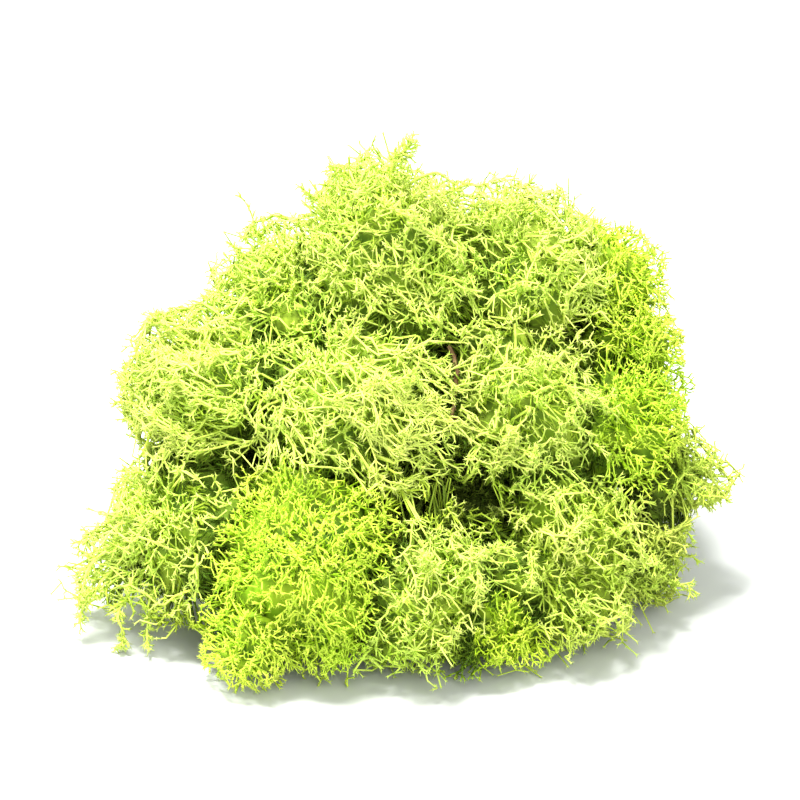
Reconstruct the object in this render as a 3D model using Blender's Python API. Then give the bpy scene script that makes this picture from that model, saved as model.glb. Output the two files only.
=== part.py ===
"""Reindeer moss clump: lichen tufts of several sizes, pressed together into one loose handful.

Metres, +Z up, +X to the right and -Y to the front. The clump rests on the plane z = 0, with the
origin at the middle of its box on that plane.

Each tuft is one solid. Its core is small where the tuft is open to view, and fills its own room
where it meets its neighbours. Every open face of the core is drawn out into a branch that forks
in three and in three again, larger than life, with its tips on the tuft's rounded outer form.
"""

import math
import random
from itertools import product

import bmesh
import bpy
from mathutils import Matrix, Vector
from mathutils.bvhtree import BVHTree
from mathutils.geometry import intersect_ray_tri

MM = 0.001

# Between two neighbouring tufts, and between a branch and the wall of its tuft's room
GAP = 0.3 * MM
BRANCH_GAP = 0.4 * MM

# Core faces as wide as this at the tuft's outer form, and their jitter
FACE_WIDTH = 20.5 * MM
JITTER = 0.1

# Rays that look out from a tuft's outer form, past all the tufts at this share of their size
RAYS = 80
SOLID_SHARE = 0.75

# Rays that have to get out for the core to stand back in full, for a face to be drawn out into a
# small sprig, and for it to be drawn out into a whole one
FREE_RAYS = 5
SPRIG_RAYS = 1
BRANCH_RAYS = 9

# Radii at the end of the stem and of its branches, and how far out each of them ends
SIDES = 3
STEM_RADIUS = 1.35 * MM
BRANCH_RADIUS = 1.0 * MM
STEM_END = 0.36
BRANCH_END = 0.70
FORK_RISE = 0.5

# How unevenly the branches and the tips share the face's directions
UNEVEN = 0.3

# The least room that a branch needs, and how far out the stem of a small sprig ends
SHORTEST = 2.5 * MM
SPRIG_END = 0.5
FIELD_SHARE = 0.75

# How much of its tuft's lean a branch has, if it then crosses no other
LEANS = (1.0, 0.6, 0.2)

# Nothing is drawn out this near the ground, where the tufts rest on their cores
RESTING = 1.0 * MM

# The share of the outer form that the branches stand deep, how much they lean, and how much
# their reach varies
HABITS = {
    "cushion": dict(depth=0.45, lean=0.1, ragged=0.05),
    "loose": dict(depth=0.52, lean=0.25, ragged=0.12),
    "combed": dict(depth=0.5, lean=0.6, ragged=0.10),
}

COLOURS = {
    "bright_lichen": (0.38, 0.66, 0.03),
    "pale_lichen": (0.60, 0.78, 0.14),
    "olive_lichen": (0.36, 0.47, 0.05),
    "dead_stem": (0.16, 0.09, 0.04),
}

# name: middle and half sizes along X, Y and Z in mm, habit, colour, and the way it leans
TUFTS = {
    "crown": ((-3, 14, 72), (24, 22, 19), "loose", "pale_lichen", (-0.3, -0.4, 0.6)),
    "crown_right": ((22, 18, 70), (22, 20, 18), "loose", "pale_lichen", (0.5, -0.3, 0.5)),
    "corner": ((42, 24, 66), (17, 18, 15), "cushion", "bright_lichen", (0.6, 0.0, 0.6)),
    "ledge": ((47, 16, 54), (16, 17, 11), "cushion", "bright_lichen", (0.8, -0.2, 0.2)),
    "shoulder": ((-21, 20, 58), (20, 20, 20), "loose", "pale_lichen", (-0.7, -0.2, 0.5)),
    "left": ((-43, -2, 49), (20, 18, 16), "combed", "pale_lichen", (-1.0, -0.2, 0.1)),
    "comb": ((-12, -12, 50), (25, 18, 17), "combed", "pale_lichen", (0.8, -0.3, -0.4)),
    "middle": ((21, -5, 49), (20, 18, 18), "loose", "pale_lichen", (0.4, -0.8, 0.2)),
    "right": ((47, 4, 43), (17, 19, 15), "cushion", "bright_lichen", (0.7, -0.4, 0.2)),
    "right_low": ((58, 2, 27), (13, 12, 10), "loose", "olive_lichen", (1.0, -0.2, -0.1)),
    "trail": ((-48, -18, 22), (18, 16, 16), "loose", "pale_lichen", (-0.8, -0.3, -0.3)),
    "mound": ((-22, -28, 18), (21, 26, 26), "cushion", "bright_lichen", (-0.2, -0.8, 0.3)),
    "front_middle": ((4, -30, 14), (19, 20, 18), "loose", "pale_lichen", (0.3, -0.8, 0.1)),
    "front_low": ((18, -34, 8), (13, 13, 10), "cushion", "bright_lichen", (0.3, -0.9, 0.0)),
    "front_right": ((32, -18, 17), (21, 21, 22), "loose", "pale_lichen", (0.5, -0.7, 0.2)),
    "foot_right": ((50, -2, 11), (15, 18, 15), "loose", "olive_lichen", (0.9, -0.4, 0.1)),
    "head": ((-34, -46, 8), (10, 10, 10), "cushion", "bright_lichen", (-0.3, -0.7, 0.4)),
    "back_left": ((-33, 22, 24), (23, 21, 27), "cushion", "bright_lichen", (-0.5, 0.7, 0.3)),
    "back_high": ((2, 33, 47), (24, 21, 21), "loose", "pale_lichen", (0.1, 0.9, 0.4)),
    "back_low": ((2, 34, 14), (26, 19, 19), "cushion", "bright_lichen", (0.0, 1.0, 0.1)),
    "back_right": ((35, 30, 27), (23, 21, 31), "loose", "pale_lichen", (0.6, 0.7, 0.1)),
    "hollow": ((4, 4, 22), (32, 26, 30), "cushion", "olive_lichen", (0.0, -0.5, -0.5)),
}

# Single stems that stand out beyond a tuft: the tuft, and the points that they run through in mm
LIMB_RADIUS = 1.12 * MM
LIMB_TAPER = 0.88
LIMB_FORK = 4.2 * MM
LIMBS = (
    ("crown", ((-4, 12, 80), (-4, 10, 91), (-6, 8, 97), (-5, 6, 103))),
    ("crown", ((-8, 15, 78), (-12, 14, 89), (-17, 12, 95))),
    ("crown", ((2, 14, 80), (4, 12, 91), (10, 10, 95))),
    ("left", ((-45, -3, 54), (-51, -5, 64), (-57, -6, 68))),
    ("trail", ((-52, -20, 21), (-63, -25, 19), (-69, -28, 14), (-72, -29, 9))),
    ("trail", ((-51, -22, 18), (-58, -29, 15), (-62, -33, 10), (-63, -35, 6))),
    ("right_low", ((60, 2, 27), (66, 0, 27), (70, -1, 26))),
)

# A dead brown stem that lies on the tufts: its ends in mm before it settles, and the way it sinks
DEAD_STEM = ((7, -14, 73), (9, -25, 61))
DEAD_STEM_RADII = (0.9 * MM, 0.6 * MM)
DEAD_STEM_BOW = 1.2 * MM
DEAD_STEM_SINKS = (0.0, 0.5, -0.85)
SINK_STEP = 0.1 * MM


class Tuft:
    """A tuft's rounded form, and the walls of the room that it has among the others."""

    def __init__(self, name, centre, radii, habit, colour, lean):
        self.name = name
        self.centre = Vector(centre) * MM
        self.radii = Vector(radii) * MM
        self.habit = HABITS[habit]
        self.colour = colour
        self.lean = Vector(lean).normalized()
        self.walls = [(Vector((0, 0, -1)), 0.0)]
        self.neighbours = []

    def support(self, way):
        """How far the rounded form reaches from its middle along a unit vector."""
        return Vector([way[i] * self.radii[i] for i in range(3)]).length

    def reach(self, way):
        """The distance from the middle to the rounded form along a unit vector."""
        return 1.0 / Vector([way[i] / self.radii[i] for i in range(3)]).length

    def room(self, way, inset=0.0):
        """The distance from the middle to the nearest wall, less the inset, along a unit vector."""
        room = math.inf
        for normal, offset in self.walls:
            slope = way.dot(normal)
            if slope > 1e-6:
                room = min(room, (offset - inset - self.centre.dot(normal)) / slope)
        return room

    def core(self, way, forms):
        """The core's share of the outer form: all where it is out of sight, less where it is open."""
        outer = min(self.reach(way), self.room(way))
        free = min(rays_out(self.centre + way * outer, forms) / FREE_RAYS, 1.0)
        return 1 - free * self.habit["depth"]

    def place(self, way, share, inset=0.0, reach=1.0, lean=1.0):
        """A point some share of the way out, inside the walls: the further out, the more it leans."""
        side = self.lean - way * self.lean.dot(way)
        way = (way + side * self.habit["lean"] * lean * share * share).normalized()
        return self.centre + way * share * min(self.reach(way) * reach, self.room(way, inset))


def rays_out(point, forms):
    """How many of the rays from a point get out past the tufts, above the ground."""
    if point.z < RESTING:
        return 0
    return sum(way.z > -0.15 and forms.ray_cast(point, way)[0] is None for way in directions(RAYS))


def share_room(tufts):
    """Gives each pair of tufts one flat wall, halfway between their near sides, with a gap along it."""
    for i, one in enumerate(tufts):
        for other in tufts[i + 1 :]:
            way = (other.centre - one.centre).normalized()
            near = one.centre.dot(way) + one.support(way)
            far = other.centre.dot(way) - other.support(way)
            offset = (near + far) / 2
            one.walls.append((way, offset - GAP / 2))
            other.walls.append((-way, -offset - GAP / 2))
            assert one.centre.dot(way) < offset < other.centre.dot(way), (one.name, other.name)
            if far < near:
                one.neighbours.append(way)
                other.neighbours.append(-way)


def directions(count, turn=0.0):
    """Evenly spread unit vectors, on a spiral from the top to the bottom."""
    golden = math.pi * (3 - math.sqrt(5))
    for i in range(count):
        z = 1 - (2 * i + 1) / count
        flat = math.sqrt(1 - z * z)
        angle = i * golden + turn
        yield Vector((flat * math.cos(angle), flat * math.sin(angle), z))


def jittered(way, amount, draw):
    return (way + amount * Vector([draw.uniform(-1, 1) for _ in range(3)])).normalized()


def core_of(tuft, forms, draw):
    """The core's mesh, and the direction and share of each of its corners.

    It is the hull of evenly spread directions, each moved to its own share of the outer form. The
    corners that face a neighbour across their wall reach it.
    """
    size = (tuft.radii.x + tuft.radii.y + tuft.radii.z) / 3
    face_area = math.sqrt(3) / 4 * FACE_WIDTH**2
    faces = 4 * math.pi * size**2 / face_area
    turn = draw.uniform(0, 2 * math.pi)
    ways = [jittered(way, JITTER, draw) for way in directions(max(round(faces / 2) + 2, 14), turn)]
    joints = []
    for neighbour in tuft.neighbours:
        if tuft.room(neighbour) < tuft.reach(neighbour):
            way = max((way for way in ways if way not in joints), key=neighbour.dot)
            ways[ways.index(way)] = neighbour
            joints.append(neighbour)
    bm = bmesh.new()
    for way in ways:
        bm.verts.new(way)
    bmesh.ops.convex_hull(bm, input=bm.verts[:])
    spots = {}
    for vert in bm.verts:
        way = vert.co.normalized()
        joint = any(way.dot(other) > 1 - 1e-6 for other in joints)
        share = 1.0 if joint else tuft.core(way, forms)
        spots[vert] = way, share
        vert.co = tuft.place(way, share, lean=0.0 if joint else 1.0)
        if vert.co.z < 1e-7:
            vert.co.z = 0.0
    bmesh.ops.recalc_face_normals(bm, faces=bm.faces[:])
    return bm, spots


def shift_end(face, end, heading, radius):
    """Moves a branch's new end face to its place, as an even triangle across its heading."""
    middle = face.calc_center_median()
    first = face.verts[0].co - middle
    across = (first - heading * first.dot(heading)).normalized()
    side = heading.cross(across)
    if (face.verts[1].co - middle).dot(side) < 0:
        side.negate()
    for i, vert in enumerate(face.verts):
        angle = 2 * math.pi * i / SIDES
        vert.co = end + radius * (across * math.cos(angle) + side * math.sin(angle))
    face.normal_update()


def draw_out(bm, face, end, radius):
    """Draws a face out to a new place as a branch that ends in an even triangle."""
    heading = (end - face.calc_center_median()).normalized()
    face = bmesh.ops.extrude_discrete_faces(bm, faces=[face])["faces"][0]
    shift_end(face, end, heading, radius)
    return face


def draw_tip(bm, face, end):
    """Draws a face out to a point."""
    face = bmesh.ops.extrude_discrete_faces(bm, faces=[face])["faces"][0]
    bmesh.ops.pointmerge(bm, verts=face.verts[:], merge_co=end)


def parted(bm, face, radius):
    """Parts a branch's end face in three round a raised middle."""
    middle = face.calc_center_median()
    normal = face.normal.copy()
    parts = bmesh.ops.poke(bm, faces=[face])["faces"]
    peak = min(parts[0].verts, key=lambda vert: (vert.co - middle).length)
    peak.co += normal * radius * FORK_RISE
    for part in parts:
        part.normal_update()
    return parts


def between(ways, draw):
    """A unit vector that lies between three others, near their middle."""
    return sum((way * draw.uniform(1 - UNEVEN, 1 + UNEVEN) for way in ways), Vector()).normalized()


def thirds(middle, ways):
    """The three fields that the middle parts the field between three unit vectors into."""
    return [(middle, ways[i], ways[i - 1]) for i in range(3)]


def matched(parts, point, fields):
    """Pairs each part of a face with the field that it already points to most."""
    left = list(parts)
    mean = sum((sum(field, Vector()) for field in fields), Vector()) / len(fields)
    for field in fields:
        out = sum(field, Vector()) - mean
        part = max(left, key=lambda face: (face.calc_center_median() - point).dot(out))
        left.remove(part)
        yield part, field


def width(field):
    """The distance of a field's sides from its middle, for a way of 1 from the tuft's middle."""
    middle = sum(field, Vector()).normalized()
    sides = [field[i].cross(field[i - 1]).normalized() for i in range(3)]
    return min(abs(side.dot(middle)) for side in sides)


def end_in(tuft, field, way, share, radius, reach=1.0, lean=1.0):
    """The end of a stem or branch, no thicker than its own field allows."""
    end = tuft.place(way, share, radius + BRANCH_GAP, reach, lean)
    return end, min(radius, FIELD_SHARE * width(field) * (end - tuft.centre).length)


def stem_out(bm, face, ways, foot, tuft, share, lean):
    """Draws one face of the core out into a stem that forks in three, each with its own field."""
    way = sum(ways, Vector()).normalized()
    end, radius = end_in(tuft, ways, way, foot + share * (1 - foot), STEM_RADIUS, 1.0, lean)
    parts = parted(bm, draw_out(bm, face, end, radius), radius)
    return matched(parts, end, thirds(way, ways))


def branch_out(bm, face, ways, foot, tuft, draw, lean):
    """Draws one face of the core out into a stem, three branches and nine tips."""
    ragged = tuft.habit["ragged"]
    reach = 1 + draw.uniform(-ragged, ragged)
    share = foot + BRANCH_END * (1 - foot)
    for part, field in stem_out(bm, face, ways, foot, tuft, STEM_END, lean):
        way = between(field, draw)
        end, radius = end_in(tuft, field, way, share, BRANCH_RADIUS, reach, lean)
        tips = parted(bm, draw_out(bm, part, end, radius), radius)
        for tip, tip_field in matched(tips, end, thirds(way, field)):
            tip_reach = reach + draw.uniform(-ragged, ragged)
            draw_tip(bm, tip, tuft.place(between(tip_field, draw), 1.0, BRANCH_GAP, tip_reach, lean))


def sprig_out(bm, face, ways, foot, tuft, draw, lean):
    """Draws one face of the core out into a stem and three tips."""
    for part, field in stem_out(bm, face, ways, foot, tuft, SPRIG_END, lean):
        draw_tip(bm, part, tuft.place(between(field, draw), 1.0, BRANCH_GAP, 1.0, lean))


def edge_through(one, other):
    """True if an edge of one face passes through another that it doesn't meet at a corner."""
    corners = [vert.co for vert in other.verts]
    for edge in one.edges:
        if not set(edge.verts) & set(other.verts):
            start, end = (vert.co for vert in edge.verts)
            hit = intersect_ray_tri(*corners[:3], end - start, start, True)
            if hit and 0 <= (hit - start).dot(end - start) <= (end - start).length_squared:
                return True
    return False


def crosses(bm, fresh):
    """True if any of the fresh faces crosses another face of the mesh."""
    bm.faces.ensure_lookup_table()
    bm.faces.index_update()
    tree = BVHTree.FromBMesh(bm)
    for i, j in tree.overlap(tree):
        one, other = bm.faces[i], bm.faces[j]
        if one in fresh and i != j:
            apart = not set(one.verts) & set(other.verts)
            if apart or edge_through(one, other) or edge_through(other, one):
                return True
    return False


def grow(bm, spots, tuft, forms, draw):
    """Draws out each face of the core that can be seen, as far as its room and the others allow."""
    for face in bm.faces[:]:
        corners = face.verts[:]
        ways = [spots[vert][0] for vert in corners]
        foot = sum(spots[vert][1] for vert in corners) / 3
        top = tuft.place(sum(ways, Vector()).normalized(), 1.0, BRANCH_GAP)
        rays = rays_out(top, forms)
        if (top - face.calc_center_median()).length < SHORTEST or rays < SPRIG_RAYS:
            continue
        shapes = [sprig_out] if rays < BRANCH_RAYS else [branch_out, sprig_out]
        for shape, lean in product(shapes, LEANS):
            before, old = set(bm.verts), set(bm.faces)
            shape(bm, face, ways, foot, tuft, draw, lean)
            bmesh.ops.triangulate(bm, faces=[new for new in bm.faces if new not in old])
            if not crosses(bm, {new for new in bm.faces if new not in old}):
                break
            bmesh.ops.delete(bm, geom=[vert for vert in bm.verts if vert not in before], context="VERTS")
            face = bm.faces.new(corners)


def rounded_forms(tufts):
    """One tree of all the tufts' rounded forms, a little inside their outer size."""
    bm = bmesh.new()
    for tuft in tufts:
        place = Matrix.Translation(tuft.centre) @ Matrix.Diagonal((*tuft.radii * SOLID_SHARE, 1))
        bmesh.ops.create_icosphere(bm, subdivisions=3, radius=1.0, matrix=place)
    tree = BVHTree.FromBMesh(bm)
    bm.free()
    return tree


def fork_end(bm, face, heading, length, radius, draw):
    """Draws a limb's end face out into three branches and nine tips, round its heading."""
    middle = face.calc_center_median()
    for part in parted(bm, face, radius):
        out = (part.calc_center_median() - middle).normalized()
        way = jittered(heading + out * 0.9, 0.15, draw)
        end = middle + way * length * draw.uniform(0.8, 1.2)
        branch = draw_out(bm, part, end, radius * BRANCH_RADIUS / STEM_RADIUS)
        for tip in parted(bm, branch, radius * BRANCH_RADIUS / STEM_RADIUS):
            out = (tip.calc_center_median() - end).normalized()
            point = end + (way + out * 0.8).normalized() * length * draw.uniform(0.7, 1.0)
            draw_tip(bm, tip, Vector((point.x, point.y, max(point.z, BRANCH_GAP))))


def shoot(start, end, radius):
    """A closed three-sided stem between two points, and its end face."""
    bm = bmesh.new()
    heading = (end - start).normalized()
    turn = heading.to_track_quat("Z", "Y").to_matrix().to_4x4()
    bmesh.ops.create_cone(
        bm,
        cap_ends=True,
        segments=SIDES,
        radius1=radius,
        radius2=radius * LIMB_TAPER,
        depth=(end - start).length,
        matrix=Matrix.Translation((start + end) / 2) @ turn,
    )
    caps = [face for face in bm.faces if len(face.verts) == SIDES]
    return bm, max(caps, key=lambda face: face.calc_center_median().dot(heading))


def limb(points, draw):
    """Closed meshes: a stem through the points with a fork at its end, and a side branch at each bend."""
    radius = LIMB_RADIUS
    bm, end = shoot(points[0], points[1], radius)
    for point, after in zip(points[1:], points[2:]):
        radius *= LIMB_TAPER
        heading = (after - point).normalized()
        end = draw_out(bm, end, after, radius)
        side = heading.cross(Vector([draw.uniform(-1, 1) for _ in range(3)])).normalized()
        way = (heading * 0.6 + side).normalized()
        branch, face = shoot(point, point + way * LIMB_FORK, radius)
        fork_end(branch, face, way, LIMB_FORK, radius, draw)
        yield branch
    fork_end(bm, end, (points[-1] - points[-2]).normalized(), LIMB_FORK, radius, draw)
    yield bm


def union(obj, pieces):
    """Joins a collection's closed meshes to an object in one Boolean, and removes them."""
    modifier = obj.modifiers.new("Union", "BOOLEAN")
    modifier.operation = "UNION"
    modifier.operand_type = "COLLECTION"
    modifier.collection = pieces
    modifier.solver = "MANIFOLD"
    evaluated = obj.evaluated_get(bpy.context.evaluated_depsgraph_get())
    joined = bpy.data.meshes.new_from_object(evaluated)
    obj.modifiers.remove(modifier)
    old = obj.data
    obj.data = joined
    bpy.data.meshes.remove(old)
    for piece in list(pieces.objects):
        mesh = piece.data
        bpy.data.objects.remove(piece)
        bpy.data.meshes.remove(mesh)
    bpy.data.collections.remove(pieces)


def add_limbs(obj, draw):
    """Joins a tuft's own limbs to it."""
    pieces = bpy.data.collections.new(obj.name + "_limbs")
    bpy.context.scene.collection.children.link(pieces)
    for name, points in LIMBS:
        if name == obj.name:
            for bm in limb([Vector(point) * MM for point in points], draw):
                new_object(obj.name + "_limb", bm, pieces)
                bm.free()
    if pieces.objects:
        union(obj, pieces)
    else:
        bpy.data.collections.remove(pieces)


def stem_mesh(start, end, extra):
    """A bowed round stem between two points, thicker by the extra."""
    bm = bmesh.new()
    rings = 6
    axis = (end - start).normalized()
    bow = axis.cross(Vector((1, 0, 0))).normalized()
    turn = axis.to_track_quat("Z", "Y").to_matrix().to_4x4()
    for i in range(rings):
        share = i / (rings - 1)
        radius = DEAD_STEM_RADII[0] * (1 - share) + DEAD_STEM_RADII[1] * share + extra
        middle = start.lerp(end, share) + bow * DEAD_STEM_BOW * math.sin(math.pi * share)
        bmesh.ops.create_circle(
            bm,
            cap_ends=i in (0, rings - 1),
            segments=6,
            radius=radius,
            matrix=Matrix.Translation(middle) @ turn,
        )
    edges = [edge for edge in bm.edges]
    bmesh.ops.bridge_loops(bm, edges=edges)
    bmesh.ops.recalc_face_normals(bm, faces=bm.faces[:])
    return bm


def settled_stem(tufts):
    """The dead stem's mesh, sunk until it all but touches the tufts."""
    trees = [BVHTree.FromObject(obj, bpy.context.evaluated_depsgraph_get()) for obj in tufts]
    start, end = (Vector(point) * MM for point in DEAD_STEM)
    step = Vector(DEAD_STEM_SINKS).normalized() * SINK_STEP
    while True:
        bm = stem_mesh(start + step, end + step, GAP)
        touching = BVHTree.FromBMesh(bm)
        bm.free()
        if any(touching.overlap(tree) for tree in trees):
            return stem_mesh(start, end, 0.0)
        start, end = start + step, end + step


def material(name):
    mat = bpy.data.materials.get(name)
    if mat is None:
        mat = bpy.data.materials.new(name)
        mat.use_nodes = True
        shader = mat.node_tree.nodes["Principled BSDF"]
        shader.inputs["Base Color"].default_value = (*COLOURS[name], 1.0)
        shader.inputs["Roughness"].default_value = 0.8
        shader.inputs["Metallic"].default_value = 0.0
        mat.diffuse_color = (*COLOURS[name], 1.0)
    return mat


def new_object(name, bm, collection):
    mesh = bpy.data.meshes.new(name)
    bm.to_mesh(mesh)
    obj = bpy.data.objects.new(name, mesh)
    collection.objects.link(obj)
    return obj


def rest_at_origin(objects):
    """Moves the meshes so that the middle of their box's bottom is at the origin."""
    points = [vert.co for obj in objects for vert in obj.data.vertices]
    low = Vector([min(point[i] for point in points) for i in range(3)])
    high = Vector([max(point[i] for point in points) for i in range(3)])
    middle = Vector(((low.x + high.x) / 2, (low.y + high.y) / 2, low.z))
    for obj in objects:
        obj.data.transform(Matrix.Translation(-middle))


def main():
    for obj in list(bpy.data.objects):
        bpy.data.objects.remove(obj)
    clump = bpy.data.collections.new("reindeer_moss_clump")
    bpy.context.scene.collection.children.link(clump)
    tufts = [Tuft(name, *row) for name, row in TUFTS.items()]
    share_room(tufts)
    draw = random.Random(3)
    forms = rounded_forms(tufts)
    for tuft in tufts:
        core, spots = core_of(tuft, forms, draw)
        grow(core, spots, tuft, forms, draw)
        obj = new_object(tuft.name, core, clump)
        core.free()
        add_limbs(obj, draw)
        obj.data.materials.clear()
        obj.data.materials.append(material(tuft.colour))
    stem = new_object("dead_stem", settled_stem(list(clump.objects)), clump)
    stem.data.materials.append(material("dead_stem"))
    stem.data.shade_smooth()
    rest_at_origin(list(clump.objects))


main()
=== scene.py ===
"""Fine looks of the reindeer moss clump: every tuft regrown as thousands of forking lichen branches.

Each tuft's solid gives the form that its branches fill, run softly into the forms beside it. The
outermost forks stand close under that form, and each ends in a star of short tips. Every two or
three of them join in a fork further in, and so on down towards the tuft's middle. Under them lies
a closed heart, coloured in the darkest tones as painted shade, with short forks and thorns on it.
Long stems run over the loose tufts, feathery ones stand out of some, and the growth stays back
from the hollows and the dead stem. The colours darken with depth, partly as the lichen's own
darker inner growth and partly as painted shade. Around the hollows, in places closed to the air
and in some whole tufts they carry more painted shade, and in a few tufts painted light.
"""

import math

import bmesh
import bpy
import numpy as np
from mathutils import Matrix, Vector
from mathutils.bvhtree import BVHTree


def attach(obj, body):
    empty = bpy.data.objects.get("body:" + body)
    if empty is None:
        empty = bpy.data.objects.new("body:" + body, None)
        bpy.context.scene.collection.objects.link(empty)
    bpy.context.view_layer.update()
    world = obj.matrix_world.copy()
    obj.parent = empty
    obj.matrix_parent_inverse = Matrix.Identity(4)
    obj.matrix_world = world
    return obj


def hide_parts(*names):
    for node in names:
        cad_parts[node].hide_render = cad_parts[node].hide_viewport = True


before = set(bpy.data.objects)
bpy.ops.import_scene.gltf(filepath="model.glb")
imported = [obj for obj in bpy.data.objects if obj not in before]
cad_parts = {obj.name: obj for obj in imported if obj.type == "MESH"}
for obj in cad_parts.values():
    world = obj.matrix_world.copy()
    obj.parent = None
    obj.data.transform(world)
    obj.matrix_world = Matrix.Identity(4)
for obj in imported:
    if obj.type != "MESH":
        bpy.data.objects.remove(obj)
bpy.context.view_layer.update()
MM = 0.001

# The view: the place of the photograph's camera in mm, the way that it looked and its roll in
# degrees, the lens for this framing, and the place at the middle of the picture
CAMERA = Vector((-77.4, -827.0, 489.3))
CAMERA_AHEAD = Vector((0.0, 0.9058, -0.4237))
CAMERA_ROLL = 2.33
LENS = 190.0
AIM = Vector((-1.0, 0.0, 47.0))

# Branches from the outermost forks inward: length from fork to fork, how many join in the next one,
# and radius at each fork in mm
INTERNODES = (0.8, 1.1, 1.7, 2.6, 3.8)
CHILDREN = (2.2, 2.3, 2.5, 2.8, 3.0)
RADII = (0.19, 0.215, 0.25, 0.31, 0.38, 0.5)

# The depth in mm where the colours reach their darkest, and the darkest and palest tones: the
# darkening with depth is partly the lichen's own darker inner growth and partly painted shade
PALE_DEPTH = 12.0
TONES = (0.04, 0.86)
MAT_TONES = (0.03, 0.86)

# Heights over the ground in mm: the least of all branches, of warped places, and of hearts and
# outer forks
GROUND = 0.15
WARP_GROUND = 0.35
GROWTH_GROUND = 0.5

# Short forks that stand on the heart, under the outer forks: spacing in mm, the share of places
# that have one, how far they lean over, and the lengths of stalk and tips in mm
MAT_SPACING = 1.5
MAT_FORKS = 0.4
MAT_LEAN = (0.4, 1.4)
MAT_LENGTH = (1.3, 3.0)
MAT_TIP = 1.0

# Thorns that stand beside them: how many at each place, how far off it in mm, how far they lean
# over, and length and radius in mm
THORNS = 3
THORN_SHIFT = 0.6
THORN_LEAN = (0.8, 2.2)
THORN_LENGTH = (2.0, 4.2)
THORN_RADIUS = 0.32

# How open a place is to the air around the clump: lines that are tried from it, how far they run in
# mm, the share of clear ones under which nothing is seen, and how much deeper the colours of the
# most closed places look in mm, as painted shade
OPEN_LINES = 26
OPEN_FAR = 45.0
OPEN_LEAST = 0.07
CLOSED_PAINTED_SHADE = 5.0

# Under the clump: the height in mm that counts as under it, and the share of forks kept there
UNDER = 5.0
UNDER_SHARE = 0.35

# How much deeper in a neighbour's form than in its own a fork may stand, in mm
OVERLAP = 0.6

# How many places are tried for each one that is kept
OVERDRAW = 3

# The back, which the photograph doesn't show: its distance behind the middle in mm, how much wider
# the outer forks stand there, and the largest share of forks that is left out
BACK = 20.0
BACK_SPREAD = 1.15
BACK_THIN = 0.3

# Habits of growth: spacing of the outer forks, length of the tips and how wide they spread, how
# unevenly deep the forks stand, relief of the lumps, how far the branches lean sideways for each mm
# of depth, how strongly the form is warped, sprouts that stand out, thickness, and the number of
# long stems on the outside
HABITS = {
    "cushion": dict(
        spacing=1.12, tip=0.75, flare=1.4, ragged=0.6, relief=2.0,
        comb=0.1, warp=1.0, sprouts=1.5, thick=0.85, stems=0,
    ),
    "loose": dict(
        spacing=1.3, tip=0.95, flare=1.5, ragged=1.2, relief=2.2,
        comb=0.4, warp=1.4, sprouts=5.0, thick=0.92, stems=14,
    ),
    "combed": dict(
        spacing=1.35, tip=0.95, flare=1.4, ragged=1.1, relief=1.8,
        comb=1.0, warp=1.3, sprouts=4.0, thick=0.92, stems=70,
    ),
}

# Long stems: steps, the step that has to lie in the stem's own tuft, length of a step and of the
# side twigs in mm, and depth under the tips in mm
STEM_STEPS = 8
STEM_OWN = 4
STEM_STEP = 2.3
STEM_TWIG = 1.9
STEM_DEPTH = -0.5

# Hollows between the tufts, where nothing grows: centre and radius in mm, how far the painted
# shade around them reaches as a share of the radius, and how much deeper it makes the colours
HOLLOWS = (
    ((-19, -21, 40), 6.0),
    ((-12, -20, 38), 8.0),
    ((-5, -20, 34), 10.0),
    ((5, -20, 33), 10.0),
    ((14, -18, 35), 8.5),
    ((-7, -5, 65), 4.5),
    ((4, -8, 58), 4.5),
    ((-43, -27, 4), 10.0),
    ((-51, -27, 8), 8.0),
    ((-58, -26, 7), 7.0),
    ((-46, -19, 37), 4.0),
    ((13, -43, 8), 5.0),
)
SHADE = 1.6
SHADE_DEPTH = 9.0

# How far the branches keep away from the dead stem, in mm
STEM_CLEAR = 3.2

# Wisps that stand out of the loose tufts: number, and length in mm
WISPS = 4
WISP_LENGTH = (4.0, 8.0)

# How the tufts' forms run together in one shared form: the sharpness of the valleys between them,
# the level of their summed fields that is its surface, and how far out and in what steps that
# surface is looked for, in mm
BLEND = 0.2
BLEND_LEVEL = 1.2
BLEND_FAR = 10.0
BLEND_STEP = 1.0

# Rows from pole to pole in each tuft's table of how far it reaches, and how many cells away its
# table of the least reach looks
GRID = 46
LEAST_CELLS = 2

# The closed heart in each tuft, dark with painted shade: splits of its net and of the net that
# spreads places, how deep it lies under the outer forks in mm, how near it comes to the hearts
# beside it, as a share of the tuft's form, and the share and length in mm of its spikes
HEART_NET = 3
SPREAD_NET = 5
HEART_DEPTH = 4.6
HEART_SHARE = 0.97
SPIKE_SHARE = 0.34
SPIKE = 1.6
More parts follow.
